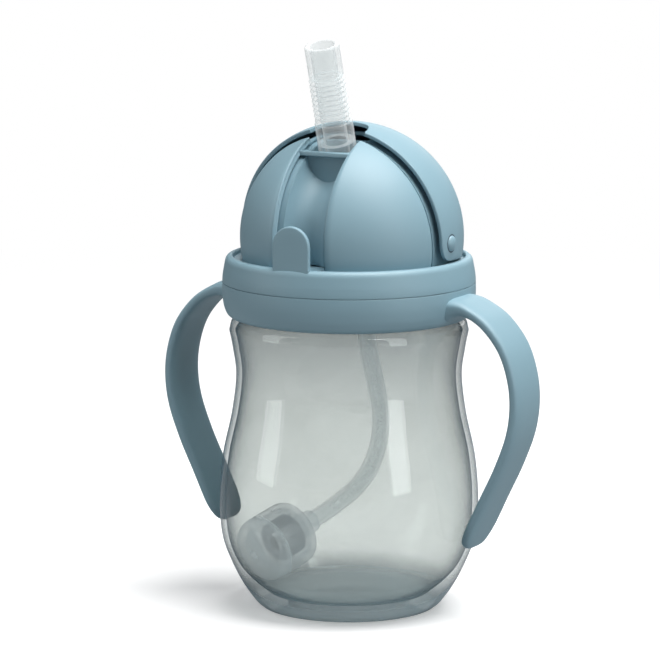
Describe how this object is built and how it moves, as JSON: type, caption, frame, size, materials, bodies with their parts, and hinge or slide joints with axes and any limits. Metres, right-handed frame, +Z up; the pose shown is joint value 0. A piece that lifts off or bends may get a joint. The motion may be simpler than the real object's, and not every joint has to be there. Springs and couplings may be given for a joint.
{
  "type": "sippy cup",
  "caption": "Straw sippy cup: a clear grey pear-shaped bottle, two strap handles, a domed screw lid with a flip cover, and a weighted silicone straw.",
  "frame": {"origin": "centre of the bottle's underside, on the surface the cup stands on", "axes": "+Z up along the bottle's axis, -Y towards the drinker (the spout leans that way), X along the handles and the cover's pins"},
  "size_m": [0.1208, 0.0782, 0.1732],
  "materials": {
    "blue_plastic": "satin moulded",
    "smoke_plastic": "clear, tinted grey",
    "clear_silicone": "translucent",
    "seal_silicone": "translucent white",
    "weight_plastic": "translucent",
    "steel": "turned"
  },
  "bodies": {
    "bottle_body": {"bottle": "smoke_plastic", "handle_ring": "blue_plastic", "right_handle": "blue_plastic", "left_handle": "blue_plastic"},
    "seal_body": {"lid_gasket": "seal_silicone"},
    "lid_body": {"lid_shell": "blue_plastic", "straw_cradle": "blue_plastic", "left_hinge_pin": "blue_plastic", "right_hinge_pin": "blue_plastic", "spout_stem": "clear_silicone", "straw_connector": "blue_plastic"},
    "tab_body": {"catch_tab": "blue_plastic"},
    "cover_body": {"flip_cover": "blue_plastic"},
    "spout_body": {"spout_bellows": "clear_silicone"},
    "mouthpiece_body": {"spout_tip": "clear_silicone"},
    "straw_body": {"drop_tube": "clear_silicone", "weight_neck": "weight_plastic", "weight_shell": "weight_plastic", "weight_cap": "weight_plastic", "weight_core": "steel"}
  },
  "joints": [
    {"name": "lid_rise", "type": "slide", "parent": "bottle_body", "child": "seal_body", "axis": [0, 0, 1], "range_m": [0, 0.005]},
    {"name": "lid_turn", "type": "hinge", "parent": "seal_body", "child": "lid_body", "pos_m": [0, 0, 0.09895], "axis": [0, 0, 1], "range_deg": [0, 450]},
    {"name": "cover_flip", "type": "hinge", "parent": "lid_body", "child": "cover_body", "pos_m": [0, 0, 0.1124], "axis": [1, 0, 0], "range_deg": [0, 87]},
    {"name": "spout_fold", "type": "hinge", "parent": "lid_body", "child": "spout_body", "pos_m": [0, -0.008, 0.14191], "axis": [1, 0, 0], "range_deg": [0, 113], "deforming": ["spout_bellows"]},
    {"name": "spout_curl", "type": "hinge", "parent": "spout_body", "child": "mouthpiece_body", "pos_m": [0, -0.01221, 0.15526], "axis": [1, 0, 0], "range_deg": [0, 27], "deforming": ["spout_tip"]},
    {"name": "tab_flex", "type": "hinge", "parent": "lid_body", "child": "tab_body", "pos_m": [0, -0.034, 0.1058], "axis": [1, 0, 0], "range_deg": [0, 8], "stiffness_Nm_per_rad": 0.05},
    {"name": "straw_swing", "type": "hinge", "parent": "lid_body", "child": "straw_body", "pos_m": [0, 0.00895, 0.08815], "axis": [0, 0, 1], "range_deg": [-4, 80]}
  ],
  "couplings": [
    {"joint": "lid_rise", "follows": "lid_turn", "m_per_rad": 0.00063662},
    {"joint": "spout_fold", "follows": "cover_flip", "ratio": 1.2874},
    {"joint": "spout_curl", "follows": "cover_flip", "ratio": 0.2989}
  ]
}
